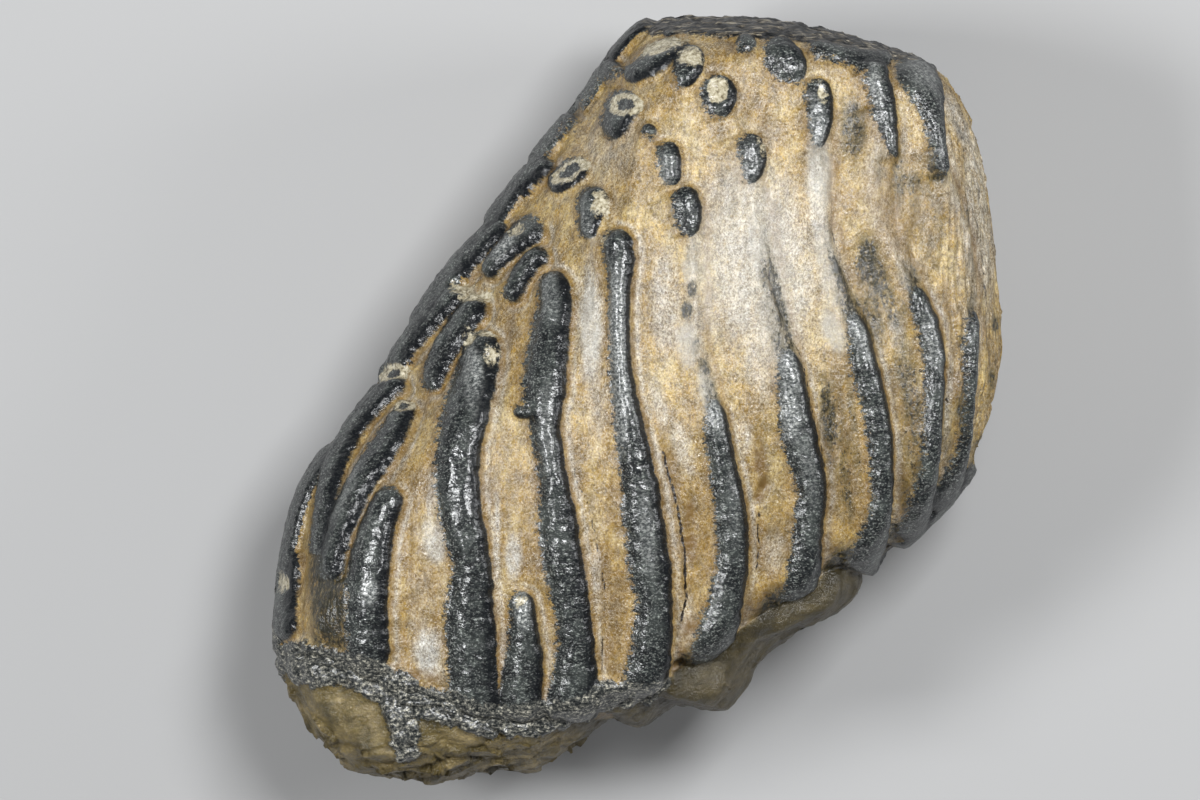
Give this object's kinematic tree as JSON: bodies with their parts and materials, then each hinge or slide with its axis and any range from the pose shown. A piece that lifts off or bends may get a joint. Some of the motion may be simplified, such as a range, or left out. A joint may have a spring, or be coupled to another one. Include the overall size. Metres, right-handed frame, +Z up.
{
  "type": "fossil mammoth tooth",
  "caption": "Fossil mammoth molar with dark ridged enamel plates in tan cement, finger-like plate tips and a broken root, lying on one broad side.",
  "frame": {"origin": "on the floor under the middle of the tooth's bounding box, as it lies on its far side", "axes": "+Z up out of the near broad side, +Y towards the grinding face, -Y towards the root, +X towards the broken front end"},
  "size_m": [0.146, 0.1541, 0.079],
  "materials": {
    "fossil_tooth": "tan cement with blue-black enamel plates and a grey-brown root, under a thin clear coat"
  },
  "bodies": {
    "root": {"mammoth_tooth": "fossil_tooth"}
  },
  "joints": []
}
